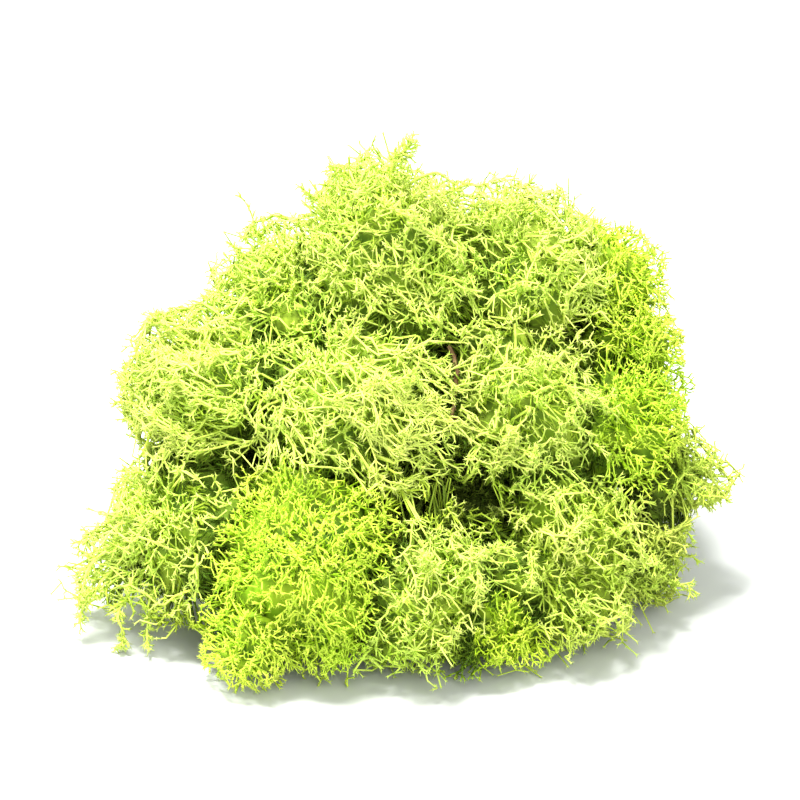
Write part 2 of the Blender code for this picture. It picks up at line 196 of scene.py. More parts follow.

# node: habit, slot, the way that its branches lean, and its painted shade: how much deeper its
# colours look in mm, and below 0 how much paler, as painted light
TUFTS = {
    "crown": ("loose", "pale_lichen", (-0.3, -0.4, 0.6), -2.2),
    "crown_right": ("loose", "pale_lichen", (0.5, -0.3, 0.5), -1.6),
    "corner": ("cushion", "bright_lichen", (0.6, 0.0, 0.6), 0.0),
    "ledge": ("cushion", "bright_lichen", (0.8, -0.2, 0.2), 0.0),
    "shoulder": ("loose", "pale_lichen", (-0.7, -0.2, 0.5), -1.0),
    "left": ("combed", "pale_lichen", (-1.0, -0.2, 0.1), 0.4),
    "comb": ("combed", "pale_lichen", (0.8, -0.3, -0.4), 0.4),
    "middle": ("loose", "pale_lichen", (0.4, -0.8, 0.2), 0.0),
    "right": ("cushion", "bright_lichen", (0.7, -0.4, 0.2), 0.0),
    "right_low": ("loose", "olive_lichen", (1.0, -0.2, -0.1), 1.0),
    "trail": ("loose", "pale_lichen", (-0.8, -0.3, -0.3), 0.4),
    "mound": ("cushion", "bright_lichen", (-0.2, -0.8, 0.3), -1.6),
    "front_middle": ("loose", "pale_lichen", (0.3, -0.8, 0.1), 0.8),
    "front_low": ("cushion", "bright_lichen", (0.3, -0.9, 0.0), 2.0),
    "front_right": ("loose", "pale_lichen", (0.5, -0.7, 0.2), 2.2),
    "foot_right": ("loose", "olive_lichen", (0.9, -0.4, 0.1), 2.0),
    "head": ("cushion", "bright_lichen", (-0.3, -0.7, 0.4), -1.0),
    "back_left": ("cushion", "bright_lichen", (-0.5, 0.7, 0.3), 0.0),
    "back_high": ("loose", "pale_lichen", (0.1, 0.9, 0.4), 0.0),
    "back_low": ("cushion", "bright_lichen", (0.0, 1.0, 0.1), 0.0),
    "back_right": ("loose", "pale_lichen", (0.6, 0.7, 0.1), 0.0),
    "hollow": ("cushion", "olive_lichen", (0.0, -0.5, -0.5), 3.0),
}

# The limbs of a tuft's solid, which its form leaves out: the tuft, and points that they run through
LIMBS = (
    ("crown", ((-3, 12, 80), (-3, 10, 91), (-5, 8, 97), (-4, 6, 103))),
    ("crown", ((-7, 15, 78), (-11, 14, 89), (-16, 12, 95))),
    ("crown", ((3, 14, 80), (5, 12, 91), (11, 10, 95))),
    ("left", ((-44, -3, 54), (-50, -5, 64), (-56, -6, 68))),
    ("trail", ((-51, -20, 21), (-62, -25, 19), (-68, -28, 14), (-71, -29, 9))),
    ("trail", ((-50, -22, 18), (-57, -29, 15), (-61, -33, 10), (-62, -35, 6))),
    ("right_low", ((61, 2, 27), (67, 0, 27), (71, -1, 26))),
)
LIMB_CLEAR = 9.0

# Feathery stems that stand out of a tuft: the tuft, points that they run through in mm, the stem's
# radius at the foot, the length of its twigs, and their spacing
SPRAYS = (
    ("crown", ((-3, 12, 78), (-4, 10, 90), (-6, 8, 98), (-5, 6, 104), (-2, 5, 108)), 0.55, 3.2, 0.45),
    ("crown", ((-6, 12, 78), (-8, 11, 88), (-10, 10, 95)), 0.5, 2.8, 0.55),
    ("crown", ((-7, 15, 78), (-11, 14, 89), (-15, 12, 95), (-19, 11, 97)), 0.5, 2.8, 0.5),
    ("crown", ((-8, 14, 78), (-13, 13, 86), (-19, 12, 90)), 0.45, 2.2, 0.6),
    ("crown", ((-4, 9, 94), (-1, 8, 98), (3, 9, 99), (7, 10, 96)), 0.5, 1.0, 2.2),
    ("crown", ((1, 14, 80), (3, 12, 91), (8, 11, 95), (15, 11, 96)), 0.5, 1.8, 0.6),
    ("crown", ((4, 13, 80), (8, 12, 88), (13, 11, 91), (18, 11, 91)), 0.45, 1.8, 0.6),
    ("left", ((-44, -3, 54), (-50, -5, 64), (-56, -6, 68)), 0.45, 2.2, 0.6),
    ("left", ((-50, -6, 50), (-57, -7, 56), (-61, -8, 61)), 0.4, 2.2, 0.6),
    ("left", ((-50, -8, 46), (-58, -9, 48), (-63, -10, 50)), 0.4, 2.0, 0.6),
    ("trail", ((-48, -20, 26), (-58, -24, 25), (-67, -27, 19), (-71, -29, 11)), 0.55, 3.0, 0.45),
    ("trail", ((-51, -20, 22), (-62, -26, 20), (-68, -29, 13), (-70, -31, 5)), 0.5, 2.6, 0.5),
    ("trail", ((-50, -22, 20), (-58, -29, 16), (-62, -33, 9), (-61, -36, 2)), 0.5, 2.2, 0.5),
    ("trail", ((-48, -24, 20), (-54, -30, 15), (-56, -33, 9), (-55, -35, 4)), 0.45, 2.0, 0.55),
    ("trail", ((-50, -18, 30), (-58, -21, 31), (-65, -23, 28)), 0.45, 2.4, 0.55),
    ("trail", ((-48, -16, 33), (-55, -17, 36), (-61, -18, 36)), 0.4, 2.2, 0.6),
    ("right_low", ((61, 2, 27), (67, 0, 27), (73, -1, 25)), 0.45, 2.6, 0.5),
    ("right_low", ((60, 1, 30), (66, 0, 33), (70, -1, 35)), 0.4, 2.2, 0.6),
)

# The dead stem: points along it, and the numbers of those that have a broken stub
DEAD_POINTS = 15
DEAD_STUBS = (3, 6, 8, 11, 13)

# The darkest, middle and tip colours of each slot, and the same for its yellower branches, and the
# middle colour's place on its ramp. In the lichen slots the darkest colours serve painted shade as
# well as the lichen's darker inner growth
RAMP_MIDDLE = 0.4
COLOURS = {
    "pale_lichen": (
        ((0.055, 0.14, 0.005), (0.49, 0.73, 0.035), (0.66, 0.89, 0.13)),
        ((0.09, 0.14, 0.010), (0.59, 0.72, 0.06), (0.80, 0.89, 0.22)),
    ),
    "bright_lichen": (
        ((0.04, 0.12, 0.004), (0.44, 0.75, 0.012), (0.62, 0.91, 0.06)),
        ((0.07, 0.13, 0.006), (0.60, 0.77, 0.026), (0.79, 0.90, 0.12)),
    ),
    "olive_lichen": (
        ((0.04, 0.09, 0.004), (0.31, 0.52, 0.022), (0.56, 0.80, 0.08)),
        ((0.07, 0.10, 0.008), (0.44, 0.53, 0.045), (0.70, 0.79, 0.15)),
    ),
    "dead_stem": (
        ((0.045, 0.022, 0.008), (0.14, 0.075, 0.03), (0.30, 0.18, 0.08)),
        ((0.06, 0.032, 0.012), (0.18, 0.10, 0.04), (0.36, 0.24, 0.12)),
    ),
}

# Lights: name, place and target in metres, size, and strength in watts
LIGHTS = (
    ("key", (-0.28, -0.02, 1.15), (0, 0, 0.04), 0.3, 32.0),
    ("side", (-1.0, 0.3, 0.6), (0, 0, 0.04), 0.25, 6.0),
    ("fill", (0.2, -0.9, 0.9), (0, 0, 0.05), 0.9, 8.0),
)
SKY = (0.97, 1.0, 0.98)
SKY_STRENGTH = 0.8
FLOOR = (0.62, 0.63, 0.62)

rng = np.random.default_rng(11)


def unit(points):
    """Vectors at length 1."""
    return points / np.maximum(np.linalg.norm(points, axis=-1, keepdims=True), 1e-12)


def spiral(count):
    """Evenly spread unit vectors."""
    i = np.arange(count)
    z = 1 - (2 * i + 1) / count
    flat = np.sqrt(1 - z * z)
    angle = i * math.pi * (3 - math.sqrt(5)) + rng.uniform(0, 2 * math.pi)
    return np.stack([flat * np.cos(angle), flat * np.sin(angle), z], -1)


def sphere_net(splits):
    """Unit vectors and triangles of an even net over a sphere."""
    bm = bmesh.new()
    bmesh.ops.create_icosphere(bm, subdivisions=splits, radius=1.0)
    ways = unit(np.array([vert.co for vert in bm.verts]))
    faces = np.array([[vert.index for vert in face.verts] for face in bm.faces])
    bm.free()
    return ways, faces


def waves(seed, length, count=9):
    """A smooth vector noise, from sine waves of about the length in random directions."""
    draw = np.random.default_rng(seed)
    pitch = unit(draw.normal(size=(count, 3))) * 2 * math.pi / (length * draw.uniform(0.7, 1.5, (count, 1)))
    phase = draw.uniform(0, 2 * math.pi, count)
    push = draw.normal(size=(count, 3)) / math.sqrt(count)
    return lambda points: np.sin(points @ pitch.T + phase) @ push


LUMPS = waves(1, 15.0)
SPROUTS = waves(5, 4.5)
CREASES = waves(6, 19.0)
BENDS = waves(2, 7.0)
KINKS = waves(3, 2.6)
TINTS = waves(4, 18.0)


def cad_points(name):
    """The corners of a node's solid, in mm."""
    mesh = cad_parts[name].data
    co = np.zeros(len(mesh.vertices) * 3)
    mesh.vertices.foreach_get("co", co)
    return co.reshape(-1, 3) / MM


def dead_stem_line():
    """Points from the top of the dead stem's solid to its foot."""
    points = cad_points("dead_stem")
    top = points[points[:, 2] > points[:, 2].max() - 1.0].mean(0)
    foot = points[points[:, 2] < points[:, 2].min() + 1.0].mean(0)
    return top + (foot - top) * np.linspace(0, 1, DEAD_POINTS)[:, None]


def solids_tree():
    """All the solids in one search tree, in mm."""
    corners, faces = [], []
    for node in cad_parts.values():
        faces += [[len(corners) + index for index in face.vertices] for face in node.data.polygons]
        corners += [vert.co / MM for vert in node.data.vertices]
    return BVHTree.FromPolygons(corners, faces)


def openness(points):
    """The share of lines from each point that leave the clump, with no solid in their way."""
    lines = [Vector(way) for way in spiral(OPEN_LINES) if way[2] > -0.3]
    found = []
    for point in points:
        start = Vector(point)
        clear = sum(solids.ray_cast(start, way, OPEN_FAR)[0] is None for way in lines)
        found.append(clear / len(lines))
    return np.array(found)


def to_path(points, path):
    """The distance of points from a path of straight lines."""
    best = np.full(len(points), np.inf)
    for a, b in zip(np.array(path[:-1], float), np.array(path[1:], float)):
        t = np.clip(((points - a) @ (b - a)) / ((b - a) @ (b - a)), 0, 1)
        best = np.minimum(best, np.linalg.norm(points - a - t[:, None] * (b - a), axis=1))
    return best


class Form:
    """The hull of a tuft's solid, less its limbs: its middle and its flat sides."""

    def __init__(self, name):
        points = cad_points(name)
        for owner, path in LIMBS:
            if owner == name:
                points = points[to_path(points, path[1:]) > LIMB_CLEAR]
        bm = bmesh.new()
        for point in points:
            bm.verts.new(point)
        hull = bmesh.ops.convex_hull(bm, input=bm.verts[:])
        bmesh.ops.delete(bm, geom=hull["geom_interior"], context="VERTS")
        bm.normal_update()
        self.middle = np.array([(points[:, i].min() + points[:, i].max()) / 2 for i in range(3)])
        self.half = np.array([(points[:, i].max() - points[:, i].min()) / 2 for i in range(3)])
        self.normals = np.array([face.normal for face in bm.faces])
        starts = np.array([face.verts[0].co for face in bm.faces])
        flip = np.sign(((starts - self.middle) * self.normals).sum(1))
        self.normals *= flip[:, None]
        self.offsets = ((starts - self.middle) * self.normals).sum(1)
        bm.free()

    def reach(self, ways):
        """The distance from the middle to the hull along unit vectors."""
        slope = ways @ self.normals.T
        return np.where(slope > 1e-6, self.offsets / np.maximum(slope, 1e-6), np.inf).min(1)

    def depth(self, points):
        """How deep points lie inside the hull: less than 0 outside."""
        return (self.offsets - (points - self.middle) @ self.normals.T).min(1)


def tube_faces(stations, forked):
    """Triangles of one three-sided tube, with a flat end or a star of three tips."""
    faces = [(0, 2, 1)]
    for s in range(stations - 1):
        for k in range(3):
            a, b = 3 * s + k, 3 * s + (k + 1) % 3
            faces += [(a, b, b + 3), (a, b + 3, a + 3)]
    last = 3 * (stations - 1)
    if not forked:
        return faces + [(last, last + 1, last + 2)]
    for k in range(3):
        a, b, middle, tip = last + k, last + (k + 1) % 3, last + 3, last + 4 + k
        faces += [(a, b, tip), (b, middle, tip), (middle, a, tip)]
    return faces


def corner_angle(k):
    """The angle of a three-sided tube's corner."""
    return 2 * math.pi * k / 3


class Tubes:
    """Closed three-sided tubes, gathered as arrays."""

    def __init__(self):
        self.points, self.faces, self.maps, self.count = [], [], [], 0

    def store(self, points, faces, tones, tints):
        """Keeps tubes (tubes, points, 3) that share one list of faces, with none of them in the ground."""
        points[..., 2] = np.maximum(points[..., 2], GROUND)
        tubes, size = points.shape[:2]
        index = np.array(faces)[None] + self.count + size * np.arange(tubes)[:, None, None]
        self.points.append(points.reshape(-1, 3))
        self.faces.append(index.reshape(-1, 3))
        self.maps.append(np.stack([tones, np.broadcast_to(tints, tones.shape)], -1).reshape(-1, 2))
        self.count += tubes * size

    def add(self, rings, radii, tones, tints, tips=None):
        """Tubes through rings (tubes, stations, 3), closed at the end or forked into three tips."""
        tubes, stations = rings.shape[:2]
        if not tubes:
            return
        ahead = unit(np.diff(rings, axis=1))
        ahead = unit(np.concatenate([ahead[:, :1], ahead[:, :-1] + ahead[:, 1:], ahead[:, -1:]], 1))
        guide = np.where(np.abs(ahead[:, :1, 2:]) < 0.8, [0.0, 0.0, 1.0], [1.0, 0.0, 0.0])
        side = unit(np.cross(ahead, np.broadcast_to(guide, ahead.shape)))
        over = np.cross(ahead, side)
        turn = rng.uniform(0, 2 * math.pi, (tubes, 1, 1))
        around = []
        for k in range(3):
            angle = turn + corner_angle(k)
            around.append(rings + (np.cos(angle) * side + np.sin(angle) * over) * radii[:, :, None])
        points = np.stack(around, 2).reshape(tubes, stations * 3, 3)
        tone = np.repeat(tones, 3, 1)
        tint = np.broadcast_to(tints[:, None], tone.shape) + np.tile([0.0, 0.02, 0.04], stations)
        if tips is not None:
            length, spread = tips
            centre = rings[:, -1] + ahead[:, -1] * radii[:, -1:] * 0.7
            ends = [centre]
            for k in range(3):
                angle = turn[:, 0] + corner_angle(k + 0.5)
                way = np.cos(angle) * side[:, -1] + np.sin(angle) * over[:, -1]
                ends.append(centre + unit(ahead[:, -1] + way * spread[:, k : k + 1]) * length[:, k : k + 1])
            points = np.concatenate([points, np.stack(ends, 1)], 1)
            tone = np.concatenate([tone, tones[:, -1:] + np.array([0.0, 0.12, 0.12, 0.12])], 1)
            tint = np.concatenate([tint, tints[:, None] + np.array([0.02, 0.0, 0.02, 0.04])], 1)
        self.store(points, tube_faces(stations, tips is not None), tone, tint)

    def add_thorns(self, rings, radii, tones, tints):
        """Closed three-sided thorns, from a foot to a point."""
        ahead = unit(rings[:, 1] - rings[:, 0])
        side = unit(np.cross(ahead, rng.normal(size=ahead.shape)))
        over = np.cross(ahead, side)
        corners = []
        for k in range(3):
            out = math.cos(corner_angle(k)) * side + math.sin(corner_angle(k)) * over
            corners.append(rings[:, 0] + out * radii[:, None])
        points = np.stack([*corners, rings[:, 1]], 1)
        faces = [(0, 2, 1), (0, 1, 3), (1, 2, 3), (2, 0, 3)]
        self.store(points, faces, tones[:, [0, 0, 0, 1]], tints[:, None])

    def add_heart(self, growth, habit):
        """A closed rough heart under the outer forks, coloured in the darkest tones as painted shade."""
        ways, faces = sphere_net(HEART_NET)
        far = growth.heart(ways, habit)
        spiked = rng.uniform(size=len(ways)) < SPIKE_SHARE
        far = far + np.where(spiked, SPIKE, -0.5) * rng.uniform(0.3, 1.1, len(ways))
        points = warped(growth.form.middle + ways * far[:, None], habit["warp"])
        points[:, 2] = np.maximum(points[:, 2], GROWTH_GROUND)
        # Painted shade: the heart takes the darkest tones, a little paler on its spikes and at random
        tones = np.where(spiked, 0.12, 0.0) + rng.uniform(0, 0.08, len(ways))
        maps = np.stack([tones, rng.uniform(size=len(ways))], -1)
        self.points.append(points)
        self.faces.append(faces + self.count)
        self.maps.append(maps)
        self.count += len(points)

    def mesh(self, name, mat):
        """One mesh of all the tubes, with tone and tint as its UV map."""
        points = np.concatenate(self.points) * MM
        faces = np.concatenate(self.faces)
        maps = np.concatenate(self.maps)
        mesh = bpy.data.meshes.new(name)
        mesh.vertices.add(len(points))
        mesh.vertices.foreach_set("co", points.astype(np.float32).ravel())
        mesh.loops.add(faces.size)
        mesh.loops.foreach_set("vertex_index", faces.astype(np.int32).ravel())
        mesh.polygons.add(len(faces))
        mesh.polygons.foreach_set("loop_start", np.arange(0, faces.size, 3, dtype=np.int32))
        mesh.polygons.foreach_set("use_smooth", np.ones(len(faces), bool))
        layer = mesh.uv_layers.new(name="OFBake")
        layer.data.foreach_set("uv", np.clip(maps[faces.ravel()], 0.0, 1.0).astype(np.float32).ravel())
        mesh.update(calc_edges=True)
        mesh.materials.append(mat)
        return mesh


def nearest(points, others):
    """For each point, the index of the nearest of the others."""
    found = []
    for part in np.array_split(points, len(points) // 500 + 1):
        found.append((-2 * part @ others.T + (others**2).sum(1)).argmin(1))
    return np.concatenate(found)


def warped(points, amount):
    """Points pushed about by the smooth noises, and kept over the ground."""
    moved = points + amount * (LUMPS(points) * 1.1 + BENDS(points) * 0.7 + KINKS(points) * 0.22)
    moved[:, 2] = np.maximum(moved[:, 2], WARP_GROUND)
    return moved


def polar_ways():
    """Unit vectors in rows from pole to pole, each row once around with its start given twice."""
    polar = np.linspace(0, math.pi, GRID + 1)[:, None]
    around = np.linspace(0, 2 * math.pi, 2 * GRID + 1)[None]
    flat = np.sin(polar)
    return np.stack([flat * np.cos(around), flat * np.sin(around), np.cos(polar) + 0 * around], -1)


class Growth:
    """How far a tuft's branches reach, with its form run softly into those of its neighbours."""

    def __init__(self, name, forms):
        self.form = forms[name]
        span = self.form.half.max() + BLEND_FAR
        self.others = []
        for other, form in forms.items():
            if other != name:
                apart = np.linalg.norm(form.middle - self.form.middle)
                if apart < span + form.half.max():
                    self.others.append(form)
        ways = polar_ways()
        self.table = self.farthest(ways.reshape(-1, 3)).reshape(ways.shape[:2])
        more = LEAST_CELLS
        around = np.concatenate([self.table[:, -1 - more : -1], self.table, self.table[:, 1 : 1 + more]], 1)
        padded = np.pad(around, ((more, more), (0, 0)), "edge")
        rows, columns = self.table.shape
        shifts = [(i, j) for i in range(2 * more + 1) for j in range(2 * more + 1)]
        self.least = np.min([padded[i : i + rows, j : j + columns] for i, j in shifts], 0)

    def field(self, points):
        """The summed fields of the forms: BLEND_LEVEL on the shared form, and more inside it."""
        forms = [self.form, *self.others]
        return sum(np.exp(BLEND * np.clip(form.depth(points), -40, 20)) for form in forms)

    def farthest(self, ways):
        """The distance from the middle to the shared form along unit vectors.

        It stops short of any hollow and of the dead stem.
        """
        # Outward in steps while the shared form goes on, then nearer to its surface by halving
        far = self.form.reach(ways)
        growing = np.ones(len(ways), bool)
        for _ in range(int(BLEND_FAR / BLEND_STEP)):
            further = far + BLEND_STEP
            growing &= self.field(self.form.middle + ways * further[:, None]) > BLEND_LEVEL
            far = np.where(growing, further, far)
        low, high = far, far + BLEND_STEP
        for _ in range(3):
            mid = (low + high) / 2
            inside = self.field(self.form.middle + ways * mid[:, None]) > BLEND_LEVEL
            low, high = np.where(inside, mid, low), np.where(inside, high, mid)
        far = (low + high) / 2
        # Back to the near side of every ball that stays free
        for centre, radius in (*HOLLOWS, *cleared):
            off = self.form.middle + ways * far[:, None] - np.array(centre, float)
            along = (off * ways).sum(1)
            inside = radius**2 - (off**2).sum(1)
            far = far - np.where(inside > 0, along + np.sqrt(np.maximum(along**2 + inside, 0)), 0)
        return np.maximum(far, self.form.half.min() * 0.3)

    def reach(self, ways, table=None):
        """The same distance, read from the table, or from the table of the least reach nearby."""
        table = self.table if table is None else table
        row = np.arccos(np.clip(ways[:, 2], -1, 1)) / math.pi * GRID
        column = np.arctan2(ways[:, 1], ways[:, 0]) % (2 * math.pi) / math.pi * GRID
        i = np.minimum(row.astype(int), GRID - 1)
        j = np.minimum(column.astype(int), 2 * GRID - 1)
        down, along = row - i, column - j
        upper = (1 - along) * table[i, j] + along * table[i, j + 1]
        lower = (1 - along) * table[i + 1, j] + along * table[i + 1, j + 1]
        return (1 - down) * upper + down * lower

    def spread(self, spacing, tries, habit=None):
        """Ways to places spread evenly over the shared form, or over the heart of a tuft of this habit."""
        corners, faces = sphere_net(SPREAD_NET)
        far = self.heart(corners, habit) if habit else self.reach(corners)
        points = (corners * far[:, None])[faces]
        sides = np.cross(points[:, 1] - points[:, 0], points[:, 2] - points[:, 0])
        area = np.linalg.norm(sides, axis=1) / 2
        chosen = rng.choice(len(faces), int(area.sum() * tries / spacing**2), p=area / area.sum())
        share = rng.dirichlet((1.0, 1.0, 1.0), len(chosen))
        places = (points[chosen] * share[:, :, None]).sum(1)
        cells = np.floor(places / (spacing * math.sqrt(1.5)) + rng.uniform(size=3)).astype(int)
        first = np.unique(cells @ [1, 1000, 1000000], return_index=True)[1]
        return unit(places[first])

    def spots(self, ways, depths):
        """Places along unit vectors, at depths in mm under the shared form."""
        far = self.reach(ways)
        return self.form.middle + ways * np.maximum(far - depths, 0.2 * far)[:, None]

    def heart(self, ways, habit):
        """The distance from the middle to the heart's surface along unit vectors."""
        deep = HEART_DEPTH + sunk(self.spots(ways, np.zeros(len(ways))), habit)
        far = np.minimum(self.form.reach(ways) * HEART_SHARE, self.reach(ways, self.least) - deep)
        return np.maximum(far, 0.25 * self.form.half.min())

    def kept(self, points):
        """True where points stand clear of the ground and lie nearer to this form than to others."""
        own = self.form.depth(points)
        found = points[:, 2] > GROWTH_GROUND
        for form in self.others:
            found &= form.depth(points) < own + OVERLAP
        under = (points[:, 2] < UNDER) & (points[:, 2] < self.form.middle[2] * 0.5)
        return found & (~under | (rng.uniform(size=len(points)) < UNDER_SHARE))


def sunk(points, habit):
    """How deep the outer forks stand at these places of the shared form: deepest along creases."""
    crease = 1 - np.clip(np.abs(CREASES(points)[:, 0]) * 3.0, 0, 1)
    return habit["relief"] * crease**1.5 + habit["ragged"] * (0.5 + 0.5 * BENDS(points)[:, 0])


def painted_hollow_shade(points):
    """Painted shade in and around the hollows: how many mm deeper the colours look."""
    share = np.zeros(len(points))
    for centre, radius in HOLLOWS:
        away = np.linalg.norm(points - centre, axis=1) / radius
        share = np.maximum(share, np.clip((SHADE - away) / (SHADE - 1.0), 0, 1))
    return SHADE_DEPTH * share


def tone_at(depths, limits=TONES):
    """The place on the colour ramps for depths in mm: dark deep inside, pale at the outside.

    Dark deep inside is partly the lichen's own darker inner growth and partly painted shade.
    """
    return np.clip(1 - depths / PALE_DEPTH, *limits)


def outer_forks(growth, habit):
    """The ways from the middle to the outermost forks, and how deep they lie."""
    behind = growth.form.middle[1] > BACK
    ways = growth.spread(habit["spacing"] * (BACK_SPREAD if behind else 1.0), OVERDRAW)
    depths = rng.uniform(0.0, 0.5, len(ways))
    outer = growth.spots(ways, np.zeros(len(ways)))
    kept = growth.kept(outer) & thinned(outer)
    ways, depths, outer = ways[kept], depths[kept], outer[kept]
    kept = openness(outer + 0.6 * ways) > OPEN_LEAST
    ways, depths, outer = ways[kept], depths[kept], outer[kept]
    depths += sunk(outer, habit) - habit["sprouts"] * np.clip(SPROUTS(outer)[:, 1] - 0.55, 0, 1)
    return ways, depths


def thinned(points):
    """True for all points in front, and for fewer towards the back."""
    return rng.uniform(size=len(points)) > BACK_THIN * np.clip(points[:, 1] / BACK - 0.5, 0, 1)


def star(count, length, flare):
    """Lengths and spreads for three tips on each of the forks."""
    return length * rng.uniform(0.6, 1.4, (count, 3)), flare * rng.uniform(0.5, 1.4, (count, 3))


def bent(parent, child, before, amount):
    """Rings for branches that leave the way that their parent came, and bend to their end."""
    length = np.linalg.norm(child - parent, axis=-1, keepdims=True)
    bend = parent + unit(parent - before) * length * 0.45 + rng.normal(size=parent.shape) * length * amount
    return np.stack([parent, 0.25 * parent + 0.5 * bend + 0.25 * child, child], 1)


def join_forks(growth, way, depth):
    """Joins the outermost forks level by level inward.

    Returns the ways and depths of each level's forks, and where each fork joins in the next level.
    """
    spots = growth.spots(way, depth)
    ways, depths, parents = [way], [depth], []
    for length, share in zip(INTERNODES, CHILDREN):
        seeds = spots[rng.permutation(len(spots))[: max(int(len(spots) / share), 3)]]
        owner = np.unique(nearest(spots, seeds), return_inverse=True)[1]
        count = np.bincount(owner)
        way = unit(np.stack([np.bincount(owner, way[:, axis]) for axis in range(3)], -1))
        depth = np.bincount(owner, depth) / count + length * rng.uniform(0.75, 1.3, len(count))
        spots = growth.spots(way, depth)
        ways.append(way)
        depths.append(depth)
        parents.append(owner)
    return ways, depths, parents


def fork_places(growth, habit, lean, ways, depths):
    """Where each level's forks stand: the deeper the level, the more it lags behind the lean."""
    size = growth.form.half.mean()
    places = []
    for level, (way, depth) in enumerate(zip(ways, depths)):
        side = lean - way * (way @ lean)[:, None]
        turned = unit(way - side * habit["comb"] * sum(INTERNODES[:level]) / size)
        places.append(warped(growth.spots(turned, depth), habit["warp"]))
    return places


def grow_branches(growth, habit, lean, painted_shade, tubes):
    """Adds a tuft's branches, from the outermost forks inward to its middle."""
    ways, depths, parents = join_forks(growth, *outer_forks(growth, habit))
    places = fork_places(growth, habit, lean, ways, depths)
    parents.append(np.zeros(len(places[-1]), int))
    places.append(growth.form.middle[None])
    depths.append(np.full(1, 2 * PALE_DEPTH))

    tint = np.clip(0.5 + 0.45 * TINTS(places[0])[:, 0] + rng.normal(size=len(places[0])) * 0.1, 0.03, 0.92)
    for level, owner in enumerate(parents):
        child, parent = places[level], places[level + 1][owner]
        innermost = level + 1 == len(parents)
        further = parent - lean if innermost else places[level + 2][parents[level + 1]][owner]
        # Painted shade: the tones darken with depth, partly as the lichen's own darker inner growth, and
        # more around the hollows and by the tuft's painted shade, which is painted light below 0
        outer_tone = tone_at(depths[level] + painted_shade + painted_hollow_shade(child))
        inner_tone = tone_at(depths[level + 1][owner] + painted_shade + painted_hollow_shade(parent))
        tones = np.stack([inner_tone, (inner_tone + outer_tone) / 2, outer_tone], 1)
        width = habit["thick"] * rng.uniform(0.85, 1.15, (len(child), 1))
        low, high = RADII[min(level + 1, len(RADII) - 1)], RADII[level]
        radii = width * np.array([[low, (low + high) / 2, high]])
        rings = bent(parent, child, further, 0.12)
        # Only branches near the outside are bent, and those deep in the heart are left out
        near = (depths[level] < 2.2 + level) & (level > 0)
        seen = depths[level] < HEART_DEPTH + habit["relief"] + 1.0
        for chosen, stations in ((near, [0, 1, 2]), (~near & seen, [0, 2])):
            tips = star(chosen.sum(), habit["tip"], habit["flare"]) if level == 0 else None
            picked = (rings[chosen][:, stations], radii[chosen][:, stations], tones[chosen][:, stations])
            tubes.add(*picked, tint[chosen], tips)
        tint = np.bincount(owner, tint) / np.bincount(owner)


def stubs(places, ways, shift, lean, length, warp):
    """Rings from about the places on the heart to the ends of short leaning branches."""
    count = len(places)
    tilt = unit(rng.normal(size=(count, 3))) * rng.uniform(*lean, (count, 1))
    foot = places + rng.normal(size=(count, 3)) * shift
    end = foot + unit(ways + tilt) * rng.uniform(*length, (count, 1))
    return np.stack([warped(foot, warp), warped(end, warp)], 1)


def grow_mat(growth, habit, painted_shade, tubes):
    """Adds the short forks and thorns on the heart, which cover it where the outer forks leave it bare."""
    ways = growth.spread(MAT_SPACING, OVERDRAW, habit)
    skin = growth.form.middle + ways * (growth.form.reach(ways) * 1.02 + 0.3)[:, None]
    clear = openness(skin)
    kept = (clear > OPEN_LEAST) & (skin[:, 2] > 0.3) & thinned(skin)
    ways, clear = ways[kept], clear[kept]
    outer = growth.spots(ways, np.zeros(len(ways)))
    foot = growth.heart(ways, habit) - 0.4
    places = growth.form.middle + ways * foot[:, None]
    # Painted shade: deeper colours around the hollows, in places closed to the air, and by the tuft's
    # painted shade, which is painted light below 0
    depth = np.linalg.norm(outer - growth.form.middle, axis=1) - foot + painted_hollow_shade(outer)
    depth += painted_shade + CLOSED_PAINTED_SHADE * (1 - np.clip(clear * 3, 0, 1))
    tones = tone_at(np.stack([depth + 1.5, depth - 1.0], 1), MAT_TONES)

    forked = rng.uniform(size=len(ways)) < MAT_FORKS
    count = forked.sum()
    rings = stubs(places[forked], ways[forked], 0.0, MAT_LEAN, MAT_LENGTH, habit["warp"])
    tints = rng.uniform(0.1, 0.8, count)
    radii = habit["thick"] * rng.uniform(0.9, 1.2, (count, 1)) * np.array([[RADII[2], RADII[1]]])
    tubes.add(rings, radii, tones[forked], tints, star(count, MAT_TIP, habit["flare"]))
    for _ in range(THORNS):
        rings = stubs(places, ways, THORN_SHIFT, THORN_LEAN, THORN_LENGTH, habit["warp"])
        tints = rng.uniform(0.1, 0.8, len(ways))
        tubes.add_thorns(rings, THORN_RADIUS * rng.uniform(0.8, 1.2, len(ways)), tones, tints)


def twigs(points, ways, length, radii, tones, tints, tubes, forks):
    """Adds bent twigs that fork in two, as many times as asked, and end in stars of tips."""
    push = unit(np.cross(ways, rng.normal(size=ways.shape)))
    ends = points + unit(ways + push * 0.3) * length[:, None]
    rings = bent(points, ends, points - ways, 0.1)
    radius = np.tile(np.linspace(radii[0], radii[1], 3), (len(points), 1))
    tone = np.tile(np.linspace(tones[0], tones[1], 3), (len(points), 1))
    if forks == 0:
        tubes.add(rings, radius, tone, tints, star(len(points), 1.0, 1.1))
        return
    tubes.add(rings, radius, tone, tints)
    side = unit(np.cross(ways, rng.normal(size=ways.shape)))
    for sign in (-1, 1):
        out = unit(ways + sign * side * rng.uniform(0.4, 1.0, (len(points), 1)) + push * 0.3)
        part = length * rng.uniform(0.6, 0.9, len(points))
        twigs(ends, out, part, radii[1:], tones[1:], tints, tubes, forks - 1)


